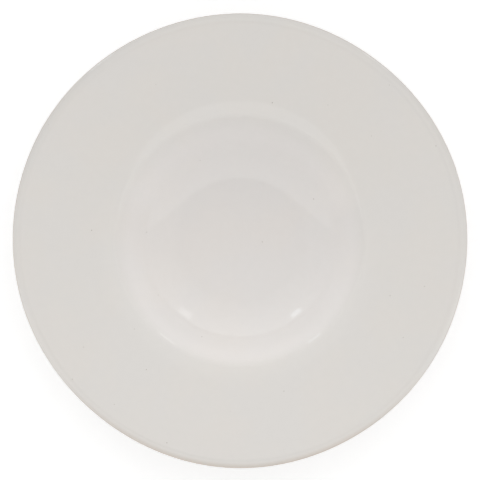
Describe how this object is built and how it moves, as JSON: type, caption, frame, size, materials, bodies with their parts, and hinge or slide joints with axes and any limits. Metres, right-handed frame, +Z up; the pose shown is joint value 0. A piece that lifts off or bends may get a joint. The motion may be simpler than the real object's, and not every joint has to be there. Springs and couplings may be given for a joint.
{
  "type": "pasta bowl",
  "caption": "Round wide-rim stoneware pasta bowl with a rounded well, off-white gloss glaze on face, back and base, and bare clay at the edge and on the foot ring that it stands on.",
  "frame": {"origin": "centre of the circle on which the foot ring stands, at table height", "axes": "+Z up along the axis of the bowl, out of its mouth; the bowl is round, so +X and +Y are free"},
  "size_m": [0.3, 0.3, 0.05],
  "materials": {
    "clay": "bare fired stoneware, matt",
    "face_glaze": "off-white gloss glaze with fine specks",
    "back_glaze": "off-white gloss glaze with fine specks",
    "base_glaze": "off-white gloss glaze with fine specks"
  },
  "bodies": {
    "root": {"clay_body": "clay", "face_glaze": "face_glaze", "back_glaze": "back_glaze", "base_glaze": "base_glaze"}
  },
  "joints": []
}
